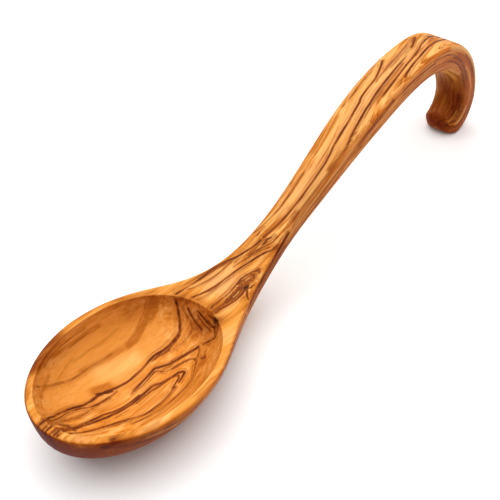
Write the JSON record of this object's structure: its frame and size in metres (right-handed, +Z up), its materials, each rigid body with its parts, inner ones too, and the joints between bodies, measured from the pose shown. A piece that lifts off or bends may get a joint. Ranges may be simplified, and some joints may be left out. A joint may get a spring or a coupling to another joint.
{
  "type": "wooden spoon",
  "caption": "Carved wooden spoon with a deep oval bowl, a slim neck and a handle that arches up and bends over into a hook.",
  "frame": {"origin": "middle of the spoon's length and width, at the level of the surface that it rests on", "axes": "+X from the bowl's nose to the back of the hook, +Y across the spoon, +Z up from the surface"},
  "size_m": [0.3012, 0.0638, 0.0683],
  "materials": {
    "olive_wood": "satin, sanded and oiled, honey ground with dark brown veins along the grain"
  },
  "bodies": {
    "root": {"carved_spoon": "olive_wood"}
  },
  "joints": []
}
